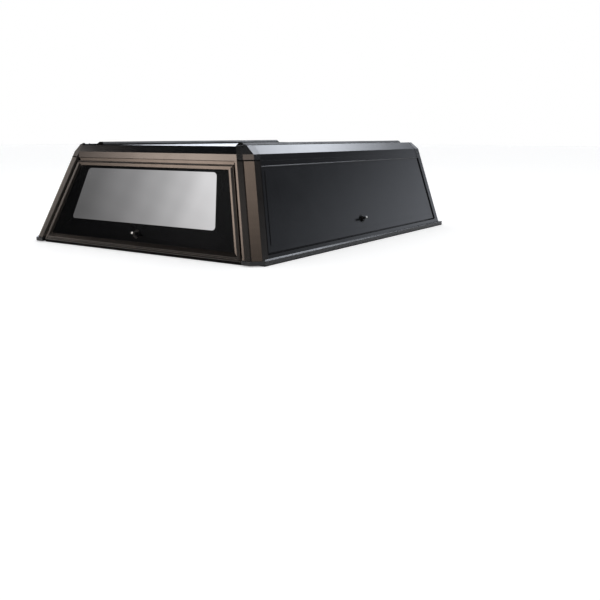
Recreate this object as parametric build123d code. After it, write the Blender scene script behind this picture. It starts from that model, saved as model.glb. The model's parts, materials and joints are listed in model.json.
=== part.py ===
from build123d import *
from math import cos, hypot, radians, sin, tan
import os

# Pickup truck canopy: a hollow aluminium body that stands on the rails of a truck bed.
# X is to the right seen from behind, Y points forward to the cab and Z up, in mm.
# The origin is on the underside of the bed seal, in the middle of the base.

# Overall form
base_length = 2224.0
base_width = 1788.0
side_lean = 19.25
rear_lean = 18.55
shoulder_height = 547.0
roof_rise = 45.0
side_chamfer_run = 50.0
rear_chamfer_run = 18.0
corner_facet = 41.0

# Base rails and the seal under them
seal_thickness = 5.0
seal_width = 60.0
seal_joint = 1.0
rail_height = 22.0
rail_width = 112.0
rail_wall = 3.0
rail_groove = 2.0
side_ledge = 17.0
rear_ledge = 13.0
front_ledge = 25.5
front_rail_width = 70.0

# Sheet and section walls
skin = 3.0
land_width = 18.0
roof_sheet = 2.0
roof_lip = 30.0
roof_clearance = 0.5
roof_drop = 7.0
roof_rim = 6.0
roof_step = 2.0

# Doors and their gaps
door_gap = 6.0
door_depth = 20.0
door_clearance = 6.0
hinge_radius = 4.0
hinge_pin_radius = 2.0
hinge_pin_clearance = 0.05
hinge_gap = 9.0
hinge_leaf = 1.5
hinge_reach = 18.0
hinge_knuckles = 5
knuckle_gap = 0.5
side_hinge_depth = 3.5
rear_hinge_depth = 5.0

# Rear corner posts
post_face = 62.5
post_bevel_width = 20.5
post_bevel_depth = 4.5
post_edge = 3.0
post_side = 95.0

# Front posts
front_post_side = 57.0
front_post_face = 60.0
front_joint = 7.0

# Headers and sills
fascia_height = 34.0
side_header_height = 24.5
rear_header_height = 17.0
rear_header_recess = 12.0
sill_height = 25.0

# Side doors
door_skin = 2.0
door_border_bottom = 35.0
door_border_front = 43.0
door_border_top = 20.0
door_border_rear = 24.0
door_field_rise = 3.0
door_pan_sheet = 1.5

# Rear hatch
hatch_foot_height = 17.0
hatch_bottom_bar = 45.0
hatch_side_bar = 35.0
hatch_top_bar = 19.0
hatch_bevel_share = 0.45
hatch_top_bevel_share = 0.84
hatch_bevel_depth = 4.0
hatch_groove = 1.5
hatch_bar_wall = 2.5
hatch_edge_break = 3.0
glass_recess = 6.0
glass_thickness = 5.0
glass_ledge = 10.0
glass_clearance = 1.0
glass_band_thickness = 1.0
window_border_top = 15.0
window_border_bottom = 104.0
window_border_head = 81.0
window_border_foot = 121.0
window_corner_radius = 22.0

# Turn locks
lock_flange_radius = 24.0
lock_flange_thickness = 2.5
lock_case_radius = 14.0
lock_case_clearance = 0.3
lock_nut_radius = 17.0
lock_nut_thickness = 5.0
lock_collar_thickness = 3.0
lock_shaft_radius = 6.0
lock_shaft_clearance = 0.05
lock_knob_radius = 16.0
lock_knob_height = 12.0
lock_grip_length = 42.0
lock_grip_width = 13.0
lock_grip_height = 20.0
lock_grip_chamfer = 2.0
lock_running_gap = 0.3
door_lock_rise = 88.0
hatch_lock_rise = 90.0

# Front wall and its window
front_window_side = 147.0
front_window_foot = 143.0
front_window_head = 83.0
front_window_radius = 40.0
front_glass_overlap = 18.0
front_glass_thickness = 4.0

# Roof tracks
track_width = 42.0
track_height = 19.5
track_slot_width = 10.0
track_slot_depth = 10.0
track_wall = 3.0
track_shoulder = 8.0
track_slope = 9.0
track_inset = 96.0
track_rear_setback = 104.0
track_front_setback = 40.0

# Corner castings
casting_wall = 5.0
casting_tongue = 20.0
top_facet = 33.0

# Values worked out from the above
tan_s = tan(radians(side_lean))
cos_s = cos(radians(side_lean))
sin_s = sin(radians(side_lean))
tan_r = tan(radians(rear_lean))
cos_r = cos(radians(rear_lean))
sin_r = sin(radians(rear_lean))
rail_top = seal_thickness + rail_height
foot_half = base_width / 2 - side_ledge
front_face = base_length / 2 - front_ledge
roof_height = shoulder_height + roof_rise
panel_top = roof_height - roof_drop
panel_bottom = panel_top - roof_sheet
cap_bottom = shoulder_height - fascia_height
side_header_bottom = cap_bottom - side_header_height
rear_header_bottom = cap_bottom - rear_header_height
sill_top = rail_top + sill_height


def wall_x(z):
    """Half width of the body over its side walls at height z."""
    return foot_half - tan_s * (z - rail_top)


def rear_y(z):
    """Y of the rear face at height z."""
    return -base_length / 2 + rear_ledge + tan_r * (z - rail_top)


roof_half = wall_x(shoulder_height) - side_chamfer_run
panel_run = rear_chamfer_run * (panel_top - shoulder_height) / roof_rise
roof_rear = rear_y(shoulder_height) + panel_run
roof_front = front_face - panel_run
track_offset = roof_half - track_inset
header_reach = corner_facet + post_face - post_bevel_width
joint_depth = rear_header_recess * fascia_height / (fascia_height + rear_header_height)
land_depth = door_depth + door_clearance
door_top = side_header_bottom - hinge_gap * cos_s
hatch_top = rear_header_bottom - hinge_gap * cos_r
door_bottom = sill_top + door_gap

side_plane = Plane(origin=(wall_x(0), 0, 0), x_dir=(0, 1, 0), z_dir=(cos_s, 0, sin_s))
rear_plane = Plane(origin=(0, rear_y(0), 0), x_dir=(1, 0, 0), z_dir=(0, -cos_r, sin_r))

parts = {}


def ribbon(points, thickness):
    """Closed outline of a folded sheet: points on one side, the sheet to their left."""
    normals = []
    for (x0, y0), (x1, y1) in zip(points, points[1:]):
        length = hypot(x1 - x0, y1 - y0)
        normals.append((-(y1 - y0) / length, (x1 - x0) / length))
    far = []
    for i, (x, y) in enumerate(points):
        before = normals[max(i - 1, 0)]
        after = normals[min(i, len(normals) - 1)]
        scale = thickness / (1 + before[0] * after[0] + before[1] * after[1])
        far.append((x + (before[0] + after[0]) * scale, y + (before[1] + after[1]) * scale))
    return list(points) + far[::-1]


def inset(points, steps):
    """The same convex outline, given counter-clockwise, with its sides moved inwards.

    One step serves all sides, or a list has a step for each side from the first point on.
    """
    count = len(points)
    if not isinstance(steps, list):
        steps = [steps] * count
    sides = []
    for i in range(count):
        (ax, ay), (bx, by) = points[i], points[(i + 1) % count]
        length = hypot(bx - ax, by - ay)
        nx, ny = -(by - ay) / length, (bx - ax) / length
        sides.append((nx, ny, nx * ax + ny * ay + steps[i]))
    result = []
    for i in range(count):
        (ax, ay, ac), (bx, by, bc) = sides[i - 1], sides[i]
        area = ax * by - ay * bx
        result.append(((ac * by - bc * ay) / area, (ax * bc - bx * ac) / area))
    return result


def face_of(points):
    return make_face(Polyline(*points, close=True))


def plate(outline, near, far):
    """A flat piece under the local XY plane, from one depth to another."""
    return Pos(0, 0, -far) * extrude(face_of(outline), far - near)


def along_y(points, y0, y1):
    """A section drawn in X and Z, extruded from y0 to y1."""
    sheet = Plane(origin=(0, y0, 0), x_dir=(1, 0, 0), z_dir=(0, -1, 0))
    return extrude(sheet * face_of(points), -(y1 - y0))


def along_x(points, x0, x1):
    """A section drawn in Y and Z, extruded from x0 to x1."""
    sheet = Plane(origin=(x0, 0, 0), x_dir=(0, 1, 0), z_dir=(1, 0, 0))
    return extrude(sheet * face_of(points), x1 - x0)


def leaning(points, z0, z1, slope_x, slope_y):
    """A plan outline at height z0, pushed up to z1 while it moves by the two slopes."""
    way = Vector(slope_x, slope_y, 1)
    return extrude(Pos(0, 0, z0) * face_of(points), (z1 - z0) * way.length, dir=way)


def keep_below(shape, point, normal):
    """The part of a shape behind a plane."""
    cutter = Plane(origin=point, z_dir=normal)
    return split(shape, bisect_by=cutter, keep=Keep.BOTTOM)


def add(name, shape):
    parts[name] = shape


def add_pair(name, right):
    """A piece of the right side and its mirror image on the left."""
    add(name + "_right", right)
    add(name + "_left", mirror(right, about=Plane.YZ))


def rail_section(width):
    """Section of a base rail: closed, grooved outside, from its outer edge inwards."""
    z0, z1 = seal_thickness, rail_top
    third = rail_height / 3
    outer = [(0, z0), (0, z0 + third - rail_groove), (-rail_groove, z0 + third)]
    outer += [(-rail_groove, z1 - third), (0, z1 - third + rail_groove), (0, z1 - rail_groove)]
    outer += [(-rail_groove, z1), (-width, z1), (-width, z0)]
    t = rail_wall + rail_groove
    hole = [(-t, z0 + rail_wall), (-t, z1 - rail_wall)]
    hole += [(-width + rail_wall, z1 - rail_wall), (-width + rail_wall, z0 + rail_wall)]
    return outer, hole


def shifted(points, dx):
    return [(x + dx, z) for x, z in points]


def base_rails():
    half = base_width / 2
    y0, y1 = -base_length / 2, base_length / 2
    outer, hole = rail_section(rail_width)
    rail = along_y(shifted(outer, half), y0, y1)
    rail -= along_y(shifted(hole, half), y0 + rail_width, y1 - rail_wall)
    ledge = side_ledge + rear_ledge
    corner = (half - corner_facet - ledge / 2, y0, 0)
    rail = keep_below(rail, corner, (1, -1, 0))
    add_pair("base_rail", rail)
    outer, hole = rail_section(front_rail_width)
    reach = half - rail_width
    rail = along_x(shifted(outer, y1), -reach, reach) - along_x(shifted(hole, y1), -reach, reach)
    add("base_rail_front", rail)


def bed_seal():
    half = base_width / 2
    inner = half - seal_width
    y0, y1 = -base_length / 2 + corner_facet + rear_ledge, base_length / 2
    edge = half - rail_groove
    side = [(inner, 0), (edge, 0), (edge, seal_thickness), (inner, seal_thickness)]
    front = [(y1 - seal_width, 0), (y1 - rail_groove, 0)]
    front += [(y1 - rail_groove, seal_thickness), (y1 - seal_width, seal_thickness)]
    right = along_y(side, y0, y1)
    across = along_x(front, -inner + seal_joint, inner - seal_joint)
    add("bed_seal", Compound(children=[right, mirror(right, about=Plane.YZ), across]))


def post_outline():
    """Plan outline of a rear post, measured from the sharp corner of the two faces."""
    width = corner_facet + post_face
    dx = land_depth / cos_s
    dy = land_depth / cos_r
    tx = skin / cos_s
    ty = skin / cos_r
    turn = post_edge * cos(radians(45))
    body = [(-width, post_bevel_depth), (-width + post_bevel_width, 0), (-corner_facet - post_edge, 0)]
    body += [(-corner_facet + turn, turn), (0, corner_facet), (0, post_side)]
    body += [(-dx - tx, post_side), (-width, dy + ty)]
    door_land = [(-dx, post_side - tx), (-dx, post_side + land_width)]
    door_land += [(-dx - tx, post_side + land_width), (-dx - tx, post_side - tx)]
    hatch_land = [(-width + ty, dy), (-width + ty, dy + ty)]
    hatch_land += [(-width - land_width, dy + ty), (-width - land_width, dy)]
    return body, door_land, hatch_land


def rear_posts():
    body, door_land, hatch_land = post_outline()
    origin_x, origin_y = wall_x(rail_top), rear_y(rail_top)
    top = cap_bottom

    def rise(points):
        moved = [(x + origin_x, y + origin_y) for x, y in points]
        return leaning(moved, rail_top, top, -tan_s, tan_r)

    hollow = inset(body, skin)
    post = rise(body) + rise(door_land) + rise(hatch_land) - rise(hollow)
    add_pair("rear_post", post)
    return post


def front_posts():
    """Angle section at the front corners, with a land behind the side door."""
    dx = land_depth / cos_s
    x0 = wall_x(rail_top)
    path = [(x0 - front_post_face, front_face), (x0, front_face), (x0, front_face - front_post_side)]
    path += [(x0 - dx, front_face - front_post_side), (x0 - dx, front_face - front_post_side - land_width)]
    outline = ribbon(path[::-1], skin)
    post = leaning(outline, rail_top, cap_bottom, -tan_s, 0)
    add_pair("front_post", post)
    return post


def side_sills(rear_post, front_post):
    """Folded sill under a side door, with a land behind the door's bottom edge."""
    def at(z, depth):
        return (wall_x(z) - depth * cos_s, z - depth * sin_s)

    path = [(wall_x(rail_top) - land_depth / cos_s, rail_top), at(rail_top, 0), at(sill_top, 0)]
    path.append(at(sill_top, land_depth))
    end = path[-1]
    reach = land_width + door_gap
    path.append((end[0] - reach * sin_s, end[1] + reach * cos_s))
    outline = ribbon(path, skin)
    sill = along_y(outline, rear_y(rail_top) + post_side, front_face - front_post_side)
    add_pair("side_sill", past_post(sill) - rear_post - front_post)


def past_post(shape):
    """The part of a shape that lies forward of the rear posts' side edges."""
    return keep_below(shape, (0, rear_y(0) + post_side, 0), (0, -1, tan_r))


def between_caps(shape):
    """The part of a shape between the two rear corner castings."""
    edge = wall_x(0) - header_reach
    shape = keep_below(shape, (edge, 0, 0), (1, 0, tan_s))
    return keep_below(shape, (-edge, 0, 0), (-1, 0, tan_s))


def roof_edges(rear_post):
    """Folded edges that carry the roof panel: a fascia, a chamfer and a stepped lip."""
    z0, z1, z2 = cap_bottom, shoulder_height, roof_height
    rim = roof_half - roof_rim
    side = [(wall_x(z0), z0), (wall_x(z1), z1), (roof_half, z2), (rim, z2)]
    side += [(rim - roof_step, panel_bottom), (rim - roof_lip, panel_bottom)]
    edge = along_y(ribbon(side, skin), rear_y(z0) + post_side, front_face - front_post_side - front_joint)
    add_pair("roof_edge", past_post(edge))
    turn = 2 * roof_step
    rear = [(rear_y(z0) + joint_depth, z0), (rear_y(z1), z1), (roof_rear, panel_top)]
    rear += [(roof_rear + turn, panel_top), (roof_rear + 2 * turn, panel_bottom)]
    rear.append((roof_rear + roof_lip, panel_bottom))
    edge = between_caps(along_x(ribbon(rear[::-1], skin), -foot_half, foot_half))
    add("roof_edge_rear", edge - rear_post - mirror(rear_post, about=Plane.YZ))
    front = [(front_face, z0), (front_face, z1), (roof_front, panel_top)]
    front += [(roof_front - turn, panel_top), (roof_front - 2 * turn, panel_bottom)]
    front.append((roof_front - roof_lip, panel_bottom))
    half = wall_x(z1) - front_post_face
    add("roof_edge_front", along_x(ribbon(front, skin), -half, half))


def corner_block(depth, rear):
    """The body's form at its upper right corner, with all faces moved inwards by a depth."""
    block = Pos(0, 0, roof_height / 2) * Box(base_width * 2, base_length * 2, roof_height - 2 * depth)
    way = -1 if rear else 1
    lean = tan_r if rear else 0
    end_y = rear_y(shoulder_height) if rear else front_face
    corner = Vector(wall_x(shoulder_height), end_y, shoulder_height)
    rise = roof_height - shoulder_height
    planes = [(corner, Vector(1, 0, tan_s)), (corner, Vector(0, way, lean))]
    planes.append((corner, Vector(rise, 0, side_chamfer_run)))
    planes.append((corner, Vector(0, way * rise, rear_chamfer_run)))
    if rear:
        low = corner - Vector(corner_facet, 0, 0)
        top = Vector(roof_half - top_facet, roof_rear, roof_height)
        across = Vector(1, 1, 0)
        planes.append((low, across.cross(Vector(-tan_s, tan_r, 1))))
        planes.append((low, across.cross(top - low)))
    for point, normal in planes:
        normal = normal.normalized()
        if normal.dot(point) < 0:
            normal = normal * -1
        block = keep_below(block, point - normal * depth, normal)
    return block


def corner_shell(outer, inner, rear, top):
    """A shell of the upper corner between two depths, open over the roof panel."""
    shell = corner_block(outer, rear) - corner_block(inner, rear)
    shell = keep_below(shell, (0, 0, top), (0, 0, 1))
    return keep_below(shell, (0, 0, cap_bottom), (0, 0, -1))


def corner_casting(rear):
    """Faceted cap that joins the roof edges, the header and a post, and laps the roof."""
    casting = corner_shell(0, casting_wall, rear, roof_height)
    casting += corner_lap(rear)
    if rear:
        casting = keep_below(casting, (wall_x(0) - header_reach, 0, 0), (-1, 0, -tan_s))
        return keep_below(casting, (0, rear_y(0) + post_side, 0), (0, 1, -tan_r))
    tongue = corner_shell(skin, casting_wall, rear, panel_bottom - skin)
    joint = front_face - front_post_side
    casting = keep_below(casting, (0, joint, 0), (0, -1, 0))
    casting += keep_below(tongue, (0, joint - casting_tongue, 0), (0, -1, 0))
    return keep_below(casting, (wall_x(shoulder_height) - front_post_face, 0, 0), (-1, 0, 0))


def corner_lap(rear):
    """The flat top of a casting, which lies on the roof panel."""
    thick = Pos(0, 0, panel_top) * extrude(face_of(roof_outline(-roof_rim)), roof_drop)
    return thick & corner_block(0, rear)


def roof_outline(inner):
    """Plan outline of the roof panel, or of a smaller one inside it."""
    reach_x = roof_half - roof_rim - roof_step - inner
    y0 = roof_rear + 4 * roof_step + inner
    y1 = roof_front - 4 * roof_step - inner
    cut = top_facet
    outline = [(-reach_x + cut, y0), (reach_x - cut, y0), (reach_x, y0 + cut), (reach_x, y1)]
    return outline + [(-reach_x, y1), (-reach_x, y0 + cut)]


def roof_panel():
    sheet = extrude(face_of(inset(roof_outline(0), roof_clearance)), roof_sheet)
    add("roof_panel", Pos(0, 0, panel_bottom) * sheet)


def roof_tracks():
    """Slotted tracks for cross bars, along both sides of the roof."""
    z0, z1 = panel_top, panel_top + track_height
    h, s = track_width / 2, track_slot_width / 2
    slot_z = z1 - track_slot_depth
    section = [(-h, z0), (h, z0), (h, z0 + track_shoulder), (h - track_slope, z1), (s, z1)]
    section += [(s, z1 - track_wall), (s * 2, z1 - track_wall), (s * 2, slot_z)]
    section += [(-s * 2, slot_z), (-s * 2, z1 - track_wall), (-s, z1 - track_wall), (-s, z1)]
    section += [(-h + track_slope, z1), (-h, z0 + track_shoulder)]
    y0 = roof_rear + track_rear_setback
    y1 = roof_front - track_front_setback
    add_pair("roof_track", along_y(shifted(section, track_offset), y0, y1))


def front_wall():
    """Flat panel facing the cab, with a fixed window behind it."""
    z0, z1 = rail_top, cap_bottom
    low, high = wall_x(z0) - front_post_face, wall_x(z1) - front_post_face
    outline = [(-low, z0), (low, z0), (high, z1), (-high, z1)]
    sheet = Plane(origin=(0, front_face - skin, 0), x_dir=(1, 0, 0), z_dir=(0, -1, 0))
    bottom, top = z0 + front_window_foot, z1 - front_window_head
    wide, tall = 2 * (high - front_window_side), top - bottom
    middle = (bottom + top) / 2
    hole = Pos(0, middle) * RectangleRounded(wide, tall, front_window_radius)
    add("front_panel", extrude(sheet * (face_of(outline) - hole), -skin))
    lap = 2 * front_glass_overlap
    pane = Pos(0, middle) * RectangleRounded(wide + lap, tall + lap, front_window_radius)
    add("front_window", extrude(sheet * pane, front_glass_thickness))


def mitred_bar(outline, inner, index, section):
    """One side of a frame between two outlines, with mitred ends.

    A section point is its distance inside the outline and its depth below the face.
    """
    count = len(outline)
    start, end = outline[index], outline[(index + 1) % count]
    length = hypot(end[0] - start[0], end[1] - start[1])
    way = Vector((end[0] - start[0]) / length, (end[1] - start[1]) / length, 0)
    inward = Vector(-way.Y, way.X, 0)
    spare = max(a for a, w in section) * 2
    origin = Vector(start[0], start[1], 0) - way * spare
    sheet = Plane(origin=origin, x_dir=inward, z_dir=way)
    bar = extrude(sheet * face_of([(a, -w) for a, w in section]), length + 2 * spare)
    for corner, near, sign in ((start, inner[index], -1), (end, inner[(index + 1) % count], 1)):
        mitre = Vector(near[0] - corner[0], near[1] - corner[1], 0)
        normal = Vector(mitre.Y, -mitre.X, 0)
        if normal.dot(way) * sign < 0:
            normal = normal * -1
        bar = keep_below(bar, (corner[0], corner[1], 0), normal)
    return bar


def hinge_strip(u0, u1, v_top, depth, moving):
    """One leaf of a long hinge in the gap under a header, with its share of the knuckles.

    The fixed leaf lies under the header and has the end knuckles and the pin.
    """
    axis_v = v_top - hinge_gap / 2
    pitch = (u1 - u0) / hinge_knuckles
    side = -1 if moving else 1
    face_v = axis_v + side * hinge_gap / 2
    clear = hinge_radius + knuckle_gap

    def leaf(ua, ub, wa, wb):
        block = Box(ub - ua, hinge_leaf, wb - wa)
        return Pos((ua + ub) / 2, face_v - side * hinge_leaf / 2, -(wa + wb) / 2) * block

    def rod(ua, ub, radius):
        return Pos((ua + ub) / 2, axis_v, -depth) * Rot(0, 90, 0) * Cylinder(radius, ub - ua)

    strip = leaf(u0, u1, depth + clear, depth + hinge_reach)
    for k in range(1 if moving else 0, hinge_knuckles, 2):
        ua = u0 + k * pitch + knuckle_gap
        ub = u0 + (k + 1) * pitch - knuckle_gap
        strip += leaf(ua, ub, depth, depth + clear)
        strip += rod(ua, ub, hinge_radius)
    if moving:
        return strip - rod(u0 - 1, u1 + 1, hinge_pin_radius + hinge_pin_clearance)
    return strip + rod(u0 + knuckle_gap, u1 - knuckle_gap, hinge_pin_radius)


def side_hinge(moving):
    outline = door_outline()
    u0, u1 = outline[3][0], outline[2][0]
    return side_plane * hinge_strip(u0, u1, side_header_bottom / cos_s, side_hinge_depth, moving)


def rear_hinge(moving):
    u1 = hatch_outline()[2][0]
    return rear_plane * hinge_strip(-u1, u1, rear_header_bottom / cos_r, rear_hinge_depth, moving)


def side_headers(rear_post, front_post):
    """Folded header over a side door, with a land behind the door's top edge."""
    def at(z, depth):
        return (wall_x(z) - depth * cos_s, z - depth * sin_s)

    top = cap_bottom
    low = side_header_bottom
    path = [at(top, land_depth), at(top, 0), at(low, 0), at(low, land_depth)]
    end = path[-1]
    reach = land_width + hinge_gap
    path.append((end[0] + reach * sin_s, end[1] - reach * cos_s))
    outline = ribbon(path[::-1], skin)
    header = along_y(outline, rear_y(low) + post_side, front_face - front_post_side - front_joint)
    add_pair("side_header", past_post(header) - rear_post - front_post + side_hinge(False))


def rear_header(rear_post):
    """Bevelled header over the rear hatch, with a land behind the hatch's top edge."""
    def at(z, depth):
        return (rear_y(z) + depth * cos_r, z - depth * sin_r)

    low = rear_header_bottom
    path = [at(cap_bottom, land_depth), at(cap_bottom, joint_depth), at(low, rear_header_recess)]
    path.append(at(low, land_depth))
    end = path[-1]
    reach = land_width + hinge_gap
    path.append((end[0] - reach * sin_r, end[1] - reach * cos_r))
    outline = ribbon(path, skin)
    half = wall_x(cap_bottom) - corner_facet - post_face
    header = along_x(outline, -half, half) - rear_post - mirror(rear_post, about=Plane.YZ)
    add("rear_header", header + rear_hinge(False))


def lock_hole(depth0, depth1):
    """Cutter for a turn lock, centred on the local origin."""
    middle = (depth0 + depth1) / 2
    return Pos(0, 0, -middle) * Cylinder(lock_case_radius + lock_case_clearance, depth1 - depth0)


def lock_case(face, back):
    """Flanged sleeve from a flange on the face to its nut against the inner face."""
    flange = Cylinder(lock_flange_radius, lock_flange_thickness)
    flange = Pos(0, 0, -face + lock_flange_thickness / 2) * flange
    sleeve = Pos(0, 0, -(face + back) / 2) * Cylinder(lock_case_radius, back - face)
    nut = Pos(0, 0, -back - lock_nut_thickness / 2) * Cylinder(lock_nut_radius, lock_nut_thickness)
    bore = lock_shaft_radius + lock_shaft_clearance
    return flange + sleeve + nut - Pos(0, 0, -back) * Cylinder(bore, 4 * (back + lock_flange_radius))


def lock_knob(face, back):
    """Round knob with a tapered grip bar, on a shaft that ends in a collar inside."""
    base = -face + lock_flange_thickness + lock_running_gap
    knob = Pos(0, 0, base + lock_knob_height / 2) * Cylinder(lock_knob_radius, lock_knob_height)
    knob = chamfer(knob.edges().group_by(Axis.Z)[-1], lock_knob_height / 4)
    grip = Pos(0, 0, lock_grip_height / 2) * Box(lock_grip_length, lock_grip_width, lock_grip_height)
    grip = fillet(grip.edges().filter_by(Axis.Z), lock_grip_width / 2 - 1)
    grip = chamfer(grip.edges().group_by(Axis.Z)[-1], lock_grip_chamfer)
    knob += Pos(0, 0, base + lock_knob_height) * grip
    tail = -back - lock_nut_thickness - lock_running_gap
    low = tail - lock_collar_thickness
    shaft = Pos(0, 0, (base + low) / 2) * Cylinder(lock_shaft_radius, base - low)
    collar = Pos(0, 0, low + lock_collar_thickness / 2) * Cylinder(lock_nut_radius, lock_collar_thickness)
    return knob + shaft + collar


def door_outline():
    """Outline of the right side door on the side plane, counter-clockwise."""
    def rear_at(v):
        return rear_y(v * cos_s) + post_side + door_gap

    v0, v1 = door_bottom / cos_s, door_top / cos_s
    front = front_face - front_post_side - door_gap
    return [(rear_at(v0), v0), (front, v0), (front, v1), (rear_at(v1), v1)]


def side_doors():
    outline = door_outline()
    borders = [door_border_bottom, door_border_front, door_border_top, door_border_rear]
    field = inset(outline, borders)
    deep = door_field_rise + door_skin
    lock_at = Pos((outline[0][0] + outline[1][0]) / 2, outline[0][1] + door_lock_rise, 0)
    tray = plate(outline, door_field_rise, door_depth)
    tray -= plate(inset(outline, door_skin), deep, door_depth)
    under = inset(field, door_skin)
    tray += plate(field, 0, deep)
    tray -= plate(under, door_skin, deep)
    tray -= lock_at * lock_hole(-1, door_depth)
    add_pair("side_door_skin", side_plane * tray)
    pan = plate(inset(outline, door_skin), door_depth - door_pan_sheet, door_depth)
    pan -= lock_at * lock_hole(-1, door_depth + 1)
    add_pair("side_door_liner", side_plane * pan)
    add_pair("side_door_lock_case", side_plane * lock_at * lock_case(0, door_depth))
    add_pair("side_door_lock_knob", side_plane * lock_at * lock_knob(0, door_depth))
    add_pair("side_door_hinge_leaf", side_hinge(True))


def hatch_outline():
    """Outline of the rear hatch on the rear plane, counter-clockwise."""
    def half_at(v):
        return wall_x(v * cos_r) - corner_facet - post_face - door_gap

    v0, v1 = hatch_foot_height / cos_r, hatch_top / cos_r
    return [(-half_at(v0), v0), (half_at(v0), v0), (half_at(v1), v1), (-half_at(v1), v1)]


def bar_section(width, share, grooves):
    """Section of a hatch frame bar: flat face, bevel down to the glass, ledge under it."""
    e, w, d = hatch_edge_break, width, door_depth
    g = hatch_groove if grooves else 0
    flat = w * (1 - share)
    seat = glass_recess + glass_thickness + glass_band_thickness
    section = [(0, e), (e, 0)]
    for k in range(grooves):
        middle = e + (flat - e) * (k + 1) / (grooves + 1)
        section += [(middle - 2 * g, 0), (middle - g, g), (middle + g, g), (middle + 2 * g, 0)]
    section += [(flat, 0), (w, hatch_bevel_depth), (w, seat)]
    section += [(w + glass_ledge, seat), (w + glass_ledge, d), (0, d)]
    t = hatch_bar_wall
    top = t + g
    hole = [(t, e + t), (t + g, top), (flat, top), (w - t, hatch_bevel_depth + top)]
    hole += [(w - t, d - t), (t, d - t)]
    return section, hole


def hatch_window(pane):
    """Outline of the clear window inside the black border of the hatch's pane."""
    (x0, v0), (x1, v1) = pane[1], pane[2]
    low, high = v0 + window_border_bottom, v1 - window_border_top
    slope = (x1 - x0) / (v1 - v0)
    foot = x0 + slope * (low - v0) - window_border_foot
    head = x0 + slope * (high - v0) - window_border_head
    window = face_of([(-foot, low), (foot, low), (head, high), (-head, high)])
    return fillet(window.vertices(), window_corner_radius)


def rear_hatch():
    outline = hatch_outline()
    widths = [hatch_bottom_bar, hatch_side_bar, hatch_top_bar, hatch_side_bar]
    inner = inset(outline, widths)
    for index, name in enumerate(("bottom", "right", "top", "left")):
        share = hatch_top_bevel_share if name == "top" else hatch_bevel_share
        section, hole = bar_section(widths[index], share, 2 if name == "bottom" else 0)
        bar = mitred_bar(outline, inner, index, section) - mitred_bar(outline, inner, index, hole)
        add("hatch_frame_" + name, rear_plane * bar)
    pane_outline = inset(inner, glass_clearance)
    lock_at = Pos(0, outline[0][1] + hatch_lock_rise, 0)
    back = glass_recess + glass_thickness
    seat = back + glass_band_thickness
    pane = plate(pane_outline, glass_recess, back) - lock_at * lock_hole(0, seat)
    add("hatch_glass", rear_plane * pane)
    opening = Pos(0, 0, -seat - 1) * extrude(hatch_window(pane_outline), glass_band_thickness + 2)
    band = plate(pane_outline, back, seat) - opening
    add("hatch_glass_band", rear_plane * (band - lock_at * lock_hole(0, seat + 1)))
    add("hatch_lock_case", rear_plane * lock_at * lock_case(glass_recess, seat))
    add("hatch_lock_knob", rear_plane * lock_at * lock_knob(glass_recess, seat))
    add("hatch_hinge_leaf", rear_hinge(True))


def build():
    base_rails()
    bed_seal()
    rear_post = rear_posts()
    front_post = front_posts()
    side_headers(rear_post, front_post)
    side_sills(rear_post, front_post)
    rear_header(rear_post)
    roof_edges(rear_post)
    add_pair("rear_corner", corner_casting(True))
    add_pair("front_corner", corner_casting(False))
    roof_panel()
    roof_tracks()
    front_wall()
    side_doors()
    rear_hatch()


build()
os.makedirs("parts", exist_ok=True)
for node, shape in parts.items():
    export_step(shape, "parts/" + node + ".step")
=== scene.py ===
import json
import math

import bmesh
import bpy
from mathutils import Matrix, Vector


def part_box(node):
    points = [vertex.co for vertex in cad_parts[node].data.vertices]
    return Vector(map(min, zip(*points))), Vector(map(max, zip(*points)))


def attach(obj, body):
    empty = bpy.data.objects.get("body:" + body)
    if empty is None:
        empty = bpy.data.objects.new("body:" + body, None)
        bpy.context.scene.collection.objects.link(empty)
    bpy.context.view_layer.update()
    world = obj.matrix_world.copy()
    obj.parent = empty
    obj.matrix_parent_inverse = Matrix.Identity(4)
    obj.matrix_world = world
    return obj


# Canopy in black powder coat, with a glass rear hatch and two lift-up side doors, on a pale floor.
# Lengths are in metres. X is to the right, Y to the front and Z up.
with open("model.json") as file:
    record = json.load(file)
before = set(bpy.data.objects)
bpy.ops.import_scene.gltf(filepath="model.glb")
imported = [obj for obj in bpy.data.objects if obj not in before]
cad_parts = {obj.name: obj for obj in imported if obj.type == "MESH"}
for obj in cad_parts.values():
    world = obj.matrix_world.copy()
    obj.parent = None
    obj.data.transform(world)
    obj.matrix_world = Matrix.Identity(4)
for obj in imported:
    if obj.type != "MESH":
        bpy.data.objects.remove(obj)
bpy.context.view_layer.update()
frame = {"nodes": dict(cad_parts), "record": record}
nodes = frame["nodes"]

# Camera of the photograph, in the part's own frame
CAMERA_PLACE = (3.1189, -4.0341, 0.6488)
CAMERA_PITCH = math.radians(12.52)
CAMERA_YAW = math.radians(34.13)
CAMERA_LENS = 45.04
SENSOR_WIDTH = 36.0
IMAGE_SIZE = 600
SHIFT_IN_PIXELS = (0.4, 1.0)

# Lean of the side walls and of the rear face, and where their planes meet the floor
SIDE_LEAN = math.radians(19.25)
REAR_LEAN = math.radians(18.55)
SIDE_FOOT = 0.88643
REAR_FOOT = -1.10806
FRONT_FACE = 1.0865
PANEL_TOP = 0.585

# Heights of the corner castings, and the inner edge of the base rail's ledge: its X and its height
CASTING_FOOT = 0.513
CASTING_SHOULDER = 0.547
CASTING_TOP = 0.592
SILL_LEDGE = (0.8772, 0.0268)

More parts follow.
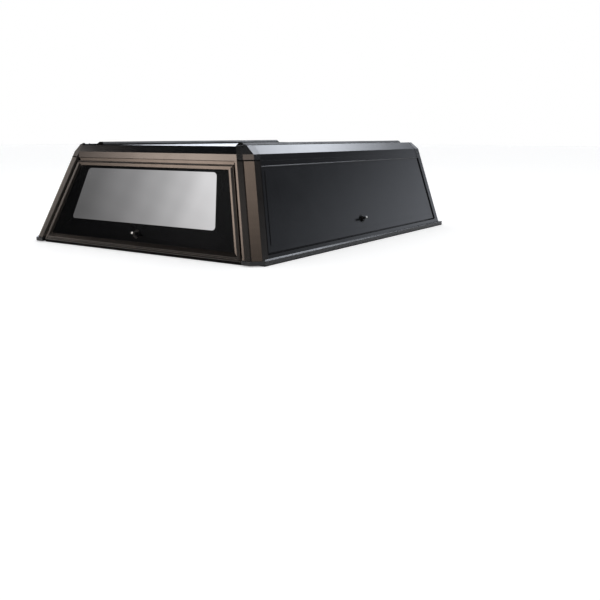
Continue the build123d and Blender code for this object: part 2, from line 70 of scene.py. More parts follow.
# Outlines on the leaning planes: across and up the slope
DOOR_OUTLINE = [(-0.9876, 0.0614), (1.0235, 0.0614), (1.0235, 0.5085), (-0.8460, 0.5085)]
PANE_OUTLINE = [(-0.7178, 0.0639), (0.7178, 0.0639), (0.5754, 0.4942), (-0.5754, 0.4942)]
WINDOW_OUTLINE = [(-0.5624, 0.1679), (0.5624, 0.1679), (0.4994, 0.4792), (-0.4994, 0.4792)]
HATCH_SEAL_LINE = [(-0.7620, 0.0239), (0.7620, 0.0239), (0.5985, 0.5082), (-0.5985, 0.5082)]
FRONT_WINDOW = [(-0.5003, 0.170), (0.5003, 0.170), (0.5003, 0.430), (-0.5003, 0.430)]
WINDOW_RADIUS = 0.022
FRONT_WINDOW_RADIUS = 0.040
HATCH_FOOT = 0.0179

# Edge of the rear post beside the hatch: a point on it, and how far it leans in for each metre up
POST_EDGE = (0.6782, 0.3164)
POST_EDGE_SLOPE = 0.3314

# Depths under the outer planes
SEAL_DEPTH = 0.0226
SEAL_RADIUS = 0.0034
SEAL_BEND = 0.018
GLASS_DEPTH = 0.006

# Turn locks: the grip's outer face over the outer plane, and the locks' rise over the door's
# and the hatch's foot
LOCK_GRIP_TOP = 0.0348
DOOR_LOCK_RISE = 0.088
HATCH_LOCK_RISE = 0.090

# Floor of the roof track's channel, above the roof panel
CHANNEL_FLOOR = 0.0094

# Edge rounding of the folded sheets and castings
FOLD_ROUND = 0.0011
CASTING_ROUND = 0.0022
POST_ROUND = 0.0016
FINE_ROUND = 0.0008
FOLD_ANGLE = math.radians(12.0)
SMOOTH_ANGLE = math.radians(35)

# Dust tone, and the size of the drifts between a finish's two tones
DUST_TONE = (0.30, 0.28, 0.25)
DRIFT_SCALE = 2.0

# Levels of the studio: even light, soft box, and what the camera sees added to the floor
EVEN_LIGHT = 0.80
SOFT_BOX_LEVEL = 1.3
FLOOR_GLOW = 0.35


# Shader node groups

def new_group(name, inputs, outputs):
    """An empty shader node group with its sockets, and its two end nodes."""
    group = bpy.data.node_groups.new(name, "ShaderNodeTree")
    for label, kind, value in inputs:
        socket = group.interface.new_socket(name=label, in_out="INPUT", socket_type=kind)
        if value is not None:
            socket.default_value = value
    for label, kind in outputs:
        group.interface.new_socket(name=label, in_out="OUTPUT", socket_type=kind)
    start = group.nodes.new("NodeGroupInput")
    end = group.nodes.new("NodeGroupOutput")
    start.location = (-900, 0)
    end.location = (700, 0)
    return group, start, end


def math_node(tree, operation, a, b=None, clamp=False):
    """One math step; a and b are sockets or numbers."""
    node = tree.nodes.new("ShaderNodeMath")
    node.operation = operation
    node.use_clamp = clamp
    for socket, value in zip(node.inputs, (a, b)):
        if value is None:
            continue
        if isinstance(value, (int, float)):
            socket.default_value = value
        else:
            tree.links.new(value, socket)
    return node.outputs[0]


def noise(tree, vector, scale, detail=2.0, rough=0.5):
    node = tree.nodes.new("ShaderNodeTexNoise")
    node.inputs["Detail"].default_value = detail
    node.inputs["Roughness"].default_value = rough
    if isinstance(scale, (int, float)):
        node.inputs["Scale"].default_value = scale
    else:
        tree.links.new(scale, node.inputs["Scale"])
    tree.links.new(vector, node.inputs["Vector"])
    return node.outputs["Fac"]


def stretched(tree, vector, scale):
    """Object coordinates stretched along the axes, for streaks that run with a profile."""
    node = tree.nodes.new("ShaderNodeMapping")
    node.inputs["Scale"].default_value = scale
    tree.links.new(vector, node.inputs["Vector"])
    return node.outputs["Vector"]


def between(tree, value, low, high, to_low=0.0, to_high=1.0):
    """A value mapped from one range to another, and held inside it."""
    node = tree.nodes.new("ShaderNodeMapRange")
    node.inputs["From Min"].default_value = low
    node.inputs["From Max"].default_value = high
    node.inputs["To Min"].default_value = to_low
    node.inputs["To Max"].default_value = to_high
    tree.links.new(value, node.inputs["Value"])
    return node.outputs["Result"]


def coat_grain_group():
    """Fine texture of a powder coat: bump height and a slight change of gloss."""
    group, start, end = new_group(
        "coat_grain",
        [("Vector", "NodeSocketVector", None), ("Grain Scale", "NodeSocketFloat", 700.0),
         ("Gloss Low", "NodeSocketFloat", 0.3), ("Gloss High", "NodeSocketFloat", 0.4)],
        [("Height", "NodeSocketFloat"), ("Roughness", "NodeSocketFloat")])
    fine = noise(group, start.outputs["Vector"], start.outputs["Grain Scale"], 3.0, 0.6)
    broad = noise(group, start.outputs["Vector"], 5.0, 4.0, 0.6)
    share = between(group, broad, 0.3, 0.7)
    span = math_node(group, "SUBTRACT", start.outputs["Gloss High"], start.outputs["Gloss Low"])
    step = math_node(group, "MULTIPLY", share, span)
    rough = math_node(group, "ADD", step, start.outputs["Gloss Low"])
    group.links.new(fine, end.inputs["Height"])
    group.links.new(rough, end.inputs["Roughness"])
    return group


def sheet_waves_group():
    """Shallow waves left by rolling and folding, long along the profile."""
    group, start, end = new_group(
        "sheet_waves", [("Vector", "NodeSocketVector", None)], [("Height", "NodeSocketFloat")])
    long_waves = noise(group, stretched(group, start.outputs["Vector"], (2.5, 2.5, 45.0)), 1.0, 2.0, 0.5)
    soft_dents = noise(group, start.outputs["Vector"], 3.5, 1.0, 0.4)
    height = math_node(group, "ADD", long_waves, math_node(group, "MULTIPLY", soft_dents, 1.5))
    group.links.new(height, end.inputs["Height"])
    return group


def dust_group():
    """Thin dust: more of it on faces that look up, in soft patches."""
    group, start, end = new_group(
        "road_dust",
        [("Vector", "NodeSocketVector", None), ("Amount", "NodeSocketFloat", 0.1)],
        [("Mask", "NodeSocketFloat")])
    normal = group.nodes.new("ShaderNodeNewGeometry")
    split = group.nodes.new("ShaderNodeSeparateXYZ")
    group.links.new(normal.outputs["Normal"], split.inputs["Vector"])
    up = between(group, split.outputs["Z"], 0.2, 1.0, 0.25, 1.0)
    patch = between(group, noise(group, start.outputs["Vector"], 3.0, 6.0, 0.65), 0.35, 0.75)
    speck = between(group, noise(group, start.outputs["Vector"], 160.0, 2.0, 0.7), 0.45, 0.8)
    both = math_node(group, "ADD", math_node(group, "MULTIPLY", patch, 0.7),
                     math_node(group, "MULTIPLY", speck, 0.3))
    mask = math_node(group, "MULTIPLY", math_node(group, "MULTIPLY", both, up),
                     start.outputs["Amount"], True)
    group.links.new(mask, end.inputs["Mask"])
    return group


def tone_group():
    """Two tones of one finish in broad, soft drifts."""
    group, start, end = new_group(
        "tone_drift",
        [("Vector", "NodeSocketVector", None), ("Tone A", "NodeSocketColor", (0.02, 0.02, 0.02, 1)),
         ("Tone B", "NodeSocketColor", (0.03, 0.03, 0.03, 1)),
         ("Drift Scale", "NodeSocketFloat", DRIFT_SCALE)],
        [("Color", "NodeSocketColor")])
    drifts = noise(group, start.outputs["Vector"], start.outputs["Drift Scale"], 3.0, 0.5)
    share = between(group, drifts, 0.3, 0.7)
    mix = group.nodes.new("ShaderNodeMix")
    mix.data_type = "RGBA"
    group.links.new(share, mix.inputs["Factor"])
    group.links.new(start.outputs["Tone A"], mix.inputs["A"])
    group.links.new(start.outputs["Tone B"], mix.inputs["B"])
    group.links.new(mix.outputs["Result"], end.inputs["Color"])
    return group


GRAIN = coat_grain_group()
WAVES = sheet_waves_group()
DUST = dust_group()
TONE = tone_group()


# Materials

def group_node(tree, group, values):
    node = tree.nodes.new("ShaderNodeGroup")
    node.node_tree = group
    for label, value in values.items():
        node.inputs[label].default_value = value
    return node


def new_material(name):
    material = bpy.data.materials.new(name)
    material.use_nodes = True
    tree = material.node_tree
    shader = tree.nodes["Principled BSDF"]
    place = tree.nodes.new("ShaderNodeTexCoord").outputs["Object"]
    return material, tree, shader, place


def bump(tree, height, strength, distance, before=None):
    node = tree.nodes.new("ShaderNodeBump")
    node.inputs["Strength"].default_value = strength
    node.inputs["Distance"].default_value = distance
    tree.links.new(height, node.inputs["Height"])
    if before is not None:
        tree.links.new(before, node.inputs["Normal"])
    return node.outputs["Normal"]


def finish_material(name, dark, light, gloss, grain, dust, specular=0.5, metallic=0.0, relief=0.15,
                    relief_depth=0.0002, waves=0.0, tint=None):
    """A coated or moulded surface: two tones, fine grain, changing gloss and dust."""
    material, tree, shader, place = new_material(name)
    tone = group_node(tree, TONE, {"Tone A": (*dark, 1), "Tone B": (*light, 1)})
    coat = group_node(tree, GRAIN, {"Grain Scale": grain, "Gloss Low": gloss[0], "Gloss High": gloss[1]})
    dirt = group_node(tree, DUST, {"Amount": dust})
    for node in (tone, coat, dirt):
        tree.links.new(place, node.inputs["Vector"])
    mix = tree.nodes.new("ShaderNodeMix")
    mix.data_type = "RGBA"
    tree.links.new(dirt.outputs["Mask"], mix.inputs["Factor"])
    tree.links.new(tone.outputs["Color"], mix.inputs["A"])
    mix.inputs["B"].default_value = (*DUST_TONE, 1)
    tree.links.new(mix.outputs["Result"], shader.inputs["Base Color"])
    rough = math_node(tree, "ADD", coat.outputs["Roughness"],
                      math_node(tree, "MULTIPLY", dirt.outputs["Mask"], 0.5), True)
    tree.links.new(rough, shader.inputs["Roughness"])
    normal = None
    if waves:
        sheet = group_node(tree, WAVES, {})
        tree.links.new(place, sheet.inputs["Vector"])
        normal = bump(tree, sheet.outputs["Height"], 1.0, waves)
    normal = bump(tree, coat.outputs["Height"], relief, relief_depth, normal)
    tree.links.new(normal, shader.inputs["Normal"])
    shader.inputs["Specular IOR Level"].default_value = specular
    shader.inputs["Metallic"].default_value = metallic
    # The specular tint colours a finish's reflections; on the rear coat its warmth is painted warm light.
    if tint:
        shader.inputs["Specular Tint"].default_value = (*tint, 1)
    return material


def glass_material():
    """Grey tinted safety glass, a little uneven in gloss."""
    material, tree, shader, place = new_material("tinted_glass")
    shader.inputs["Base Color"].default_value = (0.16, 0.17, 0.18, 1)
    shader.inputs["Transmission Weight"].default_value = 1.0
    shader.inputs["IOR"].default_value = 1.2
    shader.inputs["Specular IOR Level"].default_value = 0.2
    coat = group_node(tree, GRAIN, {"Grain Scale": 40.0, "Gloss Low": 0.02, "Gloss High": 0.06})
    tree.links.new(place, coat.inputs["Vector"])
    tree.links.new(coat.outputs["Roughness"], shader.inputs["Roughness"])
    return material


def film_material():
    """Silvered privacy film: a grey mirror, slightly uneven in tone and gloss."""
    material, tree, shader, place = new_material("silver_film")
    tone = group_node(tree, TONE, {
        "Tone A": (0.84, 0.84, 0.845, 1), "Tone B": (0.88, 0.88, 0.885, 1), "Drift Scale": 4.0})
    coat = group_node(tree, GRAIN, {"Grain Scale": 30.0, "Gloss Low": 0.02, "Gloss High": 0.03})
    for node in (tone, coat):
        tree.links.new(place, node.inputs["Vector"])
    tree.links.new(tone.outputs["Color"], shader.inputs["Base Color"])
    tree.links.new(coat.outputs["Roughness"], shader.inputs["Roughness"])
    shader.inputs["Metallic"].default_value = 1.0
    return material


MATERIALS = {
    "shell_coating": finish_material("shell_coating", (0.0038, 0.0042, 0.0052), (0.0054, 0.0058, 0.0070),
                                     (0.14, 0.18), 900.0, 0.012, waves=0.00012),
    "cap_coating": finish_material("cap_coating", (0.007, 0.0073, 0.0080), (0.013, 0.0135, 0.0145),
                                   (0.22, 0.30), 420.0, 0.03, relief=0.3, relief_depth=0.0004),
    # Painted reflection: the rear coat is the shell's black, and its warmer, lighter tone and warm specular
    # tint paint the warm light on the rear face.
    "rear_coating": finish_material("rear_coating", (0.0078, 0.0064, 0.0055), (0.0104, 0.0084, 0.0072),
                                    (0.16, 0.21), 900.0, 0.03, waves=0.00016, tint=(1.0, 0.95, 0.90)),
    "door_coating": finish_material("door_coating", (0.0042, 0.0048, 0.0062), (0.0058, 0.0064, 0.0080),
                                    (0.19, 0.24), 900.0, 0.015, waves=0.00006),
    "track_black": finish_material("track_black", (0.008, 0.008, 0.009), (0.014, 0.014, 0.015),
                                   (0.30, 0.40), 1200.0, 0.06),
    "rail_black": finish_material("rail_black", (0.006, 0.0064, 0.0078), (0.011, 0.0115, 0.013),
                                  (0.24, 0.31), 900.0, 0.03, waves=0.00008),
    "glass_border": finish_material("glass_border", (0.0062, 0.0065, 0.0082), (0.0082, 0.0086, 0.0106),
                                    (0.10, 0.14), 300.0, 0.02, specular=0.08, relief=0.02),
    "lock_black": finish_material("lock_black", (0.0022, 0.0022, 0.0025), (0.0038, 0.0038, 0.0042),
                                  (0.24, 0.32), 1500.0, 0.02, specular=0.22),
    "seal_rubber": finish_material("seal_rubber", (0.0014, 0.0014, 0.0015), (0.0028, 0.0028, 0.0029),
                                   (0.60, 0.75), 1100.0, 0.008, specular=0.08),
    "tinted_glass": glass_material(),
    "silver_film": film_material(),
    "key_steel": finish_material("key_steel", (0.88, 0.88, 0.86), (0.95, 0.95, 0.93),
                                 (0.40, 0.50), 2500.0, 0.04, metallic=0.35),
    "bolt_steel": finish_material("bolt_steel", (0.05, 0.05, 0.052), (0.08, 0.08, 0.082),
                                  (0.26, 0.34), 2500.0, 0.10, metallic=1.0),
}
SLOTS = {s["node"]: s["material_slot"] for s in frame["record"]["subparts"]}


def dress(obj, finish_name):
    obj.data.materials.clear()
    obj.data.materials.append(MATERIALS[finish_name])


def round_edges(obj, width):
    """Welds the loose triangles of a piece and rounds its edges for a highlight."""
    weld = obj.modifiers.new("weld", "WELD")
    weld.merge_threshold = 0.00002
    flat = obj.modifiers.new("flat", "DECIMATE")
    flat.decimate_type = "DISSOLVE"
    flat.angle_limit = math.radians(0.6)
    bevel = obj.modifiers.new("round", "BEVEL")
    bevel.width = width
    bevel.segments = 2
    bevel.limit_method = "ANGLE"
    bevel.angle_limit = FOLD_ANGLE
    even = obj.modifiers.new("even", "WEIGHTED_NORMAL")
    even.mode = "FACE_AREA"
    even.weight = 100


ROUNDED = {
    "rear_corner": CASTING_ROUND, "front_corner": CASTING_ROUND, "rear_post": POST_ROUND,
    "front_post": FOLD_ROUND, "roof_edge": FOLD_ROUND, "side_sill": FOLD_ROUND, "hatch_frame": FOLD_ROUND,
    "rear_header": FINE_ROUND, "roof_track": FINE_ROUND, "front_panel": FINE_ROUND,
    "base_rail": 0.0009, "side_door_skin": 0.0006, "side_header": 0.0005,
}
for name, obj in nodes.items():
    dress(obj, SLOTS[name])
    for start, width in ROUNDED.items():
        if name.startswith(start):
            round_edges(obj, width)


# Modelling helpers

def clear_selection():
    active = bpy.context.view_layer.objects.active
    if active and active.mode != "OBJECT":
        bpy.ops.object.mode_set(mode="OBJECT")
    bpy.ops.object.select_all(action="DESELECT")


def make_active(obj):
    clear_selection()
    obj.select_set(True)
    bpy.context.view_layer.objects.active = obj


def open_mesh(obj):
    make_active(obj)
    bpy.ops.object.mode_set(mode="EDIT")
    bpy.ops.mesh.select_all(action="DESELECT")


def close_mesh():
    bpy.ops.object.mode_set(mode="OBJECT")


def pick(obj, kind, test):
    """Selects vertices, edges or faces of the open mesh whose middle and normal pass a test."""
    bpy.ops.mesh.select_mode(type=kind)
    bpy.ops.mesh.select_all(action="DESELECT")
    mesh = bmesh.from_edit_mesh(obj.data)
    if kind == "VERT":
        for vert in mesh.verts:
            vert.select_set(test(vert.co, vert.normal))
    elif kind == "EDGE":
        for edge in mesh.edges:
            edge.select_set(test((edge.verts[0].co + edge.verts[1].co) / 2, None))
    else:
        for face in mesh.faces:
            face.select_set(test(face.calc_center_median(), face.normal))
    mesh.select_flush_mode()
    bmesh.update_edit_mesh(obj.data)


def plane_matrix(origin, across, up):
    """Place of a drawing plane: X across, Y up the slope, Z outwards."""
    x = Vector(across).normalized()
    y = Vector(up).normalized()
    place = Matrix((x, y, x.cross(y))).transposed().to_4x4()
    place.translation = origin
    return place


SIDE_SLOPE = (-math.sin(SIDE_LEAN), 0, math.cos(SIDE_LEAN))
REAR_SLOPE = (0, math.sin(REAR_LEAN), math.cos(REAR_LEAN))
RIGHT_SIDE = plane_matrix((SIDE_FOOT, 0, 0), (0, 1, 0), SIDE_SLOPE)
REAR_SIDE = plane_matrix((0, REAR_FOOT, 0), (1, 0, 0), REAR_SLOPE)
FRONT_SIDE = plane_matrix((0, FRONT_FACE, 0), (-1, 0, 0), (0, 0, 1))
PLANE_CORNERS = [(-0.5, -0.5), (0.5, -0.5), (0.5, 0.5), (-0.5, 0.5)]


def settle(obj, place):
    """Puts a piece in its place and leaves the object itself at the origin."""
    make_active(obj)
    obj.matrix_world = place @ obj.matrix_world
    bpy.ops.object.transform_apply(location=True, rotation=True, scale=True)


def tidy_normals(obj):
    open_mesh(obj)
    bpy.ops.mesh.select_all(action="SELECT")
    bpy.ops.mesh.remove_doubles(threshold=0.00001)
    bpy.ops.mesh.normals_make_consistent(inside=False)
    close_mesh()


def finish(obj, name, finish_name, body):
    """Names a piece, gives it its finish and hangs it on its body."""
    tidy_normals(obj)
    make_active(obj)
    bpy.ops.object.shade_smooth_by_angle(angle=SMOOTH_ANGLE)
    obj.name = name
    obj.data.name = name
    dress(obj, finish_name)
    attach(obj, body)
    clear_selection()


def copy_of(obj):
    make_active(obj)
    bpy.ops.object.duplicate(linked=False)
    return bpy.context.view_layer.objects.active


def mirrored_copy(obj):
    twin = copy_of(obj)
    twin.scale = (-1, 1, 1)
    bpy.ops.object.transform_apply(location=False, rotation=False, scale=True)
    return twin


def finish_pair(obj, name, finish_name):
    """Finishes a piece of the right side on the shell, and its mirror image on the left."""
    twin = mirrored_copy(obj)
    finish(obj, name + "_right", finish_name, "canopy_shell")
    finish(twin, name + "_left", finish_name, "canopy_shell")


def joined_copies(source, spots):
    """Copies of a piece at several scales and places, joined to one piece. The piece itself is deleted."""
    pieces = []
    for scale, spot in spots:
        piece = copy_of(source)
        piece.scale = scale
        bpy.ops.object.transform_apply(location=False, rotation=False, scale=True)
        settle(piece, Matrix.Translation(spot))
        pieces.append(piece)
    make_active(source)
    bpy.ops.object.delete()
    make_active(pieces[0])
    for piece in pieces:
        piece.select_set(True)
    bpy.ops.object.join()
    return pieces[0]


def box(size, middle=(0, 0, 0)):
    """A block of the given size that the next steps shape, open for editing."""
    clear_selection()
    bpy.ops.mesh.primitive_cube_add(size=1, location=middle, scale=size)
    obj = bpy.context.active_object
    bpy.ops.object.transform_apply(location=True, rotation=True, scale=True)
    open_mesh(obj)
    return obj


def unit_plane():
    """A face one metre wide that the next steps shape, open for editing."""
    clear_selection()
    bpy.ops.mesh.primitive_plane_add(size=1, location=(0, 0, 0))
    obj = bpy.context.active_object
    open_mesh(obj)
    return obj


def move_corners(obj, spots):
    """Moves the four corners of a new plane to the given points, in turn."""
    for (x, y), spot in zip(PLANE_CORNERS, spots):
        corner = Vector((x, y, 0))
        pick(obj, "VERT", lambda co, no: (co - corner).length < 0.0001)
        bpy.ops.transform.translate(value=spot - corner)


def outline_plane(corners):
    """A four-cornered face with its corners at the given points of the drawing plane."""
    aside = 7  # far above the plane, so that a corner that has moved isn't picked again
    obj = unit_plane()
    move_corners(obj, [Vector((x, y, aside)) for x, y in corners])
    bpy.ops.mesh.select_all(action="SELECT")
    bpy.ops.transform.translate(value=(0, 0, -aside))
    return obj


def thicken(obj, thickness, even=False):
    """Gives a finished sheet its thickness, half to each side."""
    bpy.ops.mesh.select_all(action="SELECT")
    bpy.ops.mesh.normals_make_consistent(inside=False)
    close_mesh()
    thick = obj.modifiers.new("thick", "SOLIDIFY")
    thick.thickness = thickness
    thick.offset = 0
    thick.use_even_offset = even
    bpy.ops.object.modifier_apply(modifier="thick")


def round_corners(radius, segments=7):
    bpy.ops.mesh.select_mode(type="VERT")
    bpy.ops.mesh.select_all(action="SELECT")
    bpy.ops.mesh.bevel(offset=radius, segments=segments, affect="VERTICES")


def bead(corners, rounding, radius, place, open_side=None):
    """A round rubber bead along an outline, made as a wire and given its thickness."""
    obj = outline_plane(corners)
    bpy.ops.mesh.select_all(action="SELECT")
    bpy.ops.mesh.delete(type="ONLY_FACE")
    if open_side is not None:
        pick(obj, "EDGE", open_side)
        bpy.ops.mesh.delete(type="EDGE")
        low = min(y for x, y in corners)
        pick(obj, "VERT", lambda co, no: co.y > low + 0.01)
        bpy.ops.mesh.bevel(offset=rounding, segments=7, affect="VERTICES")
    else:
        round_corners(rounding)
    close_mesh()
    bpy.ops.object.convert(target="CURVE")
    obj = bpy.context.active_object
    obj.data.bevel_depth = radius
    obj.data.bevel_resolution = 2
    obj.data.use_fill_caps = True
    bpy.ops.object.convert(target="MESH")
    obj = bpy.context.active_object
    settle(obj, place)
    return obj


# Rubber seals and beads, and black strips that paint shade in gaps and joints

def door_seals():
    """Bulb seals on the lands behind the side doors."""
    step = 0.006
    x0, x1, x2 = DOOR_OUTLINE[0][0] + step, DOOR_OUTLINE[1][0] - step, DOOR_OUTLINE[3][0] + step
    low, high = DOOR_OUTLINE[0][1] + step, DOOR_OUTLINE[2][1] - step
    line = [(x0, low), (x1, low), (x1, high), (x2, high)]
    place = RIGHT_SIDE @ Matrix.Translation((0, 0, -SEAL_DEPTH))
    finish_pair(bead(line, SEAL_BEND, SEAL_RADIUS, place), "door_seal", "seal_rubber")


def hatch_seals():
    """Bulb seal on the lands behind the hatch, and the thin bead that holds its pane."""
    place = REAR_SIDE @ Matrix.Translation((0, 0, -SEAL_DEPTH))
    seal = bead(HATCH_SEAL_LINE, SEAL_BEND, SEAL_RADIUS, place, lambda co, no: co.y < 0.03)
    finish(seal, "hatch_seal", "seal_rubber", "canopy_shell")
    place = REAR_SIDE @ Matrix.Translation((0, 0, -GLASS_DEPTH + 0.0002))
    gasket = bead(PANE_OUTLINE, 0.002, 0.0014, place)
    finish(gasket, "hatch_pane_bead", "seal_rubber", "rear_hatch")


def hatch_wiper():
    """Rubber lip under the hatch, thinner toward its free edge."""
    wide, thick, tall = 1.536, 0.011, 0.0125
    obj = box((wide, tall, thick))
    pick(obj, "FACE", lambda co, no: no.y < -0.9)
    bpy.ops.transform.resize(value=(1, 1, 0.45))
    bpy.ops.transform.translate(value=(0, 0, 0.002))
    pick(obj, "EDGE", lambda co, no: abs(co.x) < 0.1)
    bpy.ops.mesh.bevel(offset=0.0015, segments=3)
    close_mesh()
    settle(obj, REAR_SIDE @ Matrix.Translation((0, HATCH_FOOT - tall / 2, -0.0125)))
    finish(obj, "hatch_wiper", "seal_rubber", "rear_hatch")


def shade_strip(name, corners, place, low, high):
    """A thin black strip in seal rubber, between two depths over a four-cornered outline, once for each
    side: painted shade in a gap.
    """
    obj = outline_plane(corners)
    bpy.ops.mesh.select_mode(type="FACE")
    bpy.ops.mesh.select_all(action="SELECT")
    bpy.ops.mesh.extrude_region_move(TRANSFORM_OT_translate={"value": (0, 0, high - low)})
    pick(obj, "EDGE", lambda co, no: co.z > high - low - 0.00001)
    bpy.ops.mesh.bevel(offset=0.0003, segments=2)
    close_mesh()
    settle(obj, place @ Matrix.Translation((0, 0, low)))
    finish_pair(obj, name, "seal_rubber")


def door_gap_shade_strips():
    """Black strips in seal rubber on the sill and the posts around the gaps of the side doors: painted
    shade in and beside the gaps.
    """
    front = DOOR_OUTLINE[1][0]
    low, high = DOOR_OUTLINE[0][1], DOOR_OUTLINE[2][1]
    slope = (DOOR_OUTLINE[3][0] - DOOR_OUTLINE[0][0]) / (high - low)
    foot, foot_gap, rear_gap, rear_end = low - 0.0100, low - 0.0051, 0.0054, 0.0106
    back_low = DOOR_OUTLINE[0][0] + slope * (foot - low)
    back_high = DOOR_OUTLINE[3][0]
    # Painted shade: a black strip just under the door's bottom edge, along its gap.
    under = [(back_low - rear_gap, foot), (front + 0.004, foot), (front + 0.004, foot_gap),
             (back_low - rear_gap, foot_gap)]
    shade_strip("door_foot_gap_shade", under, RIGHT_SIDE, -0.019, 0.0005)
    # Painted shade: a black strip in the gap behind the door's rear edge.
    behind = [(back_low - rear_end, foot), (back_low - rear_gap, foot), (back_high - rear_gap, high),
              (back_high - rear_end, high)]
    shade_strip("door_rear_gap_shade", behind, RIGHT_SIDE, -0.018, 0.0005)
    # Painted shade: a black band on the front post beside the door's front gap.
    near, far, post_foot = front + 0.0058, front + 0.0185, low - 0.004
    beside = [(near, post_foot), (far, post_foot), (far, high), (near, high)]
    shade_strip("front_post_shade_band", beside, RIGHT_SIDE, -0.0004, 0.0007)


def hatch_gap_shade_strips():
    """Black strips in seal rubber on the rear posts, in the gaps beside the hatch: painted shade in the
    gaps.
    """
    low, high, inner = 0.034, 0.534, 0.0008
    edge_low = POST_EDGE[0] - POST_EDGE_SLOPE * (low - POST_EDGE[1])
    edge_high = POST_EDGE[0] - POST_EDGE_SLOPE * (high - POST_EDGE[1])
    # Both strips are black to paint the shade of the gap.
    for name, outer, depth, top in (("hatch_gap_shade", 0.0006, -0.022, -0.0036),
                                    ("hatch_gap_lip_shade", 0.0042, -0.0060, -0.0029)):
        corners = [(edge_low - inner, low), (edge_low + outer, low), (edge_high + outer, high),
                   (edge_high - inner, high)]
        shade_strip(name, corners, REAR_SIDE, depth, top)


def casting_joint_shade_bands():
    """Thin black bands in seal rubber between the rear castings and the rear posts: a painted shadow in the
    joints.
    """
    tall = 0.0068
    up = Vector((-math.tan(SIDE_LEAN), math.tan(REAR_LEAN), 1)) * tall
    low = CASTING_FOOT - 0.0002
    side_x = SIDE_FOOT - math.tan(SIDE_LEAN) * low
    rear_y = REAR_FOOT + math.tan(REAR_LEAN) * low
    inner_end, facet, side_reach = 0.6270, 0.0415, 0.050
    path = [Vector((inner_end, rear_y, low)), Vector((side_x - facet, rear_y, low)),
            Vector((side_x, rear_y + facet, low)), Vector((side_x, rear_y + facet + side_reach, low))]
    obj = unit_plane()
    move_corners(obj, [path[0], path[1], path[1] + up, path[0] + up])
    for before, after in zip(path[1:], path[2:]):
        spot = before + up / 2
        pick(obj, "EDGE", lambda co, no: (co - spot).length < 0.0001)
        bpy.ops.mesh.extrude_region_move(TRANSFORM_OT_translate={"value": after - before})
    thicken(obj, 0.0012, even=True)
    finish_pair(obj, "casting_joint_shade", "seal_rubber")


def sill_beads():
    """Triangular beads between the foot of each side wall and the ledge of the base rail."""
    y0, y1, size = -1.040, 1.0835, 0.0043
    obj = box((size, y1 - y0, size))
    pick(obj, "EDGE", lambda co, no: co.x > 0.002 and co.z > 0.002)
    bpy.ops.transform.translate(value=(-size * 0.9, 0, 0))
    close_mesh()
    middle = (SILL_LEDGE[0] + size / 2, (y0 + y1) / 2, SILL_LEDGE[1] + size / 2)
    settle(obj, Matrix.Translation(middle))
    finish_pair(obj, "sill_bead", "shell_coating")


def front_window_gasket():
    """Rubber gasket around the window in the front wall."""
    place = FRONT_SIDE @ Matrix.Translation((0, 0, -0.0004))
    gasket = bead(FRONT_WINDOW, FRONT_WINDOW_RADIUS, 0.0034, place)
    finish(gasket, "front_window_gasket", "seal_rubber", "canopy_shell")


def roof_sealant():
    """Sealant bead between the roof panel and its rim."""
    low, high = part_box("roof_panel")
    inset = 0.0012
    x, y0, y1 = high[0] - inset, low[1] + inset, high[1] - inset
    line = [(-x, y0), (x, y0), (x, y1), (-x, y1)]
    sealant = bead(line, 0.006, 0.0022, Matrix.Translation((0, 0, PANEL_TOP + 0.0004)))
    finish(sealant, "roof_sealant", "seal_rubber", "canopy_shell")


def joint_strip():
    """Rubber strips in the joints between the front castings and the roof edges."""
    shoulder = (0.6954, CASTING_SHOULDER)
    foot = (shoulder[0] + math.tan(SIDE_LEAN) * (CASTING_SHOULDER - CASTING_FOOT), CASTING_FOOT)
    crest = (0.6454, CASTING_TOP)
    rim = (crest[0] - 0.005, CASTING_TOP)
    y0, y1 = 1.0226, 1.0294
    path = [foot, shoulder, crest, rim]
    obj = unit_plane()
    pick(obj, "EDGE", lambda co, no: co.x > 0.4)
    bpy.ops.transform.translate(value=(shoulder[0] - 0.5, 0, shoulder[1]))
    pick(obj, "EDGE", lambda co, no: co.x < -0.4)
    bpy.ops.transform.translate(value=(foot[0] + 0.5, 0, foot[1]))
    for before, after in zip(path[1:], path[2:]):
        spot = Vector((before[0], 0, before[1]))
        pick(obj, "EDGE", lambda co, no: (Vector((co.x, 0, co.z)) - spot).length < 0.0001)
        way = (after[0] - before[0], 0, after[1] - before[1])
        bpy.ops.mesh.extrude_region_move(TRANSFORM_OT_translate={"value": way})
    bpy.ops.mesh.select_all(action="SELECT")
    bpy.ops.transform.resize(value=(1, y1 - y0, 1), center_override=(0, 0, 0))
    bpy.ops.transform.translate(value=(0, (y0 + y1) / 2, 0))
    thicken(obj, 0.0022)
    settle(obj, Matrix.Translation((-0.0016, 0, -0.0010)))
    finish_pair(obj, "front_joint_strip", "seal_rubber")


# Window film

def window_film():
    """Silvered film on the clear part of the hatch's pane."""
    obj = outline_plane(WINDOW_OUTLINE)
    round_corners(WINDOW_RADIUS, 9)
    bpy.ops.mesh.select_mode(type="FACE")
    bpy.ops.mesh.select_all(action="SELECT")
    bpy.ops.mesh.extrude_region_move(TRANSFORM_OT_translate={"value": (0, 0, 0.0003)})
    close_mesh()
    settle(obj, REAR_SIDE @ Matrix.Translation((0, 0, -GLASS_DEPTH + 0.00002)))
    finish(obj, "hatch_window_film", "silver_film", "rear_hatch")


# Locks

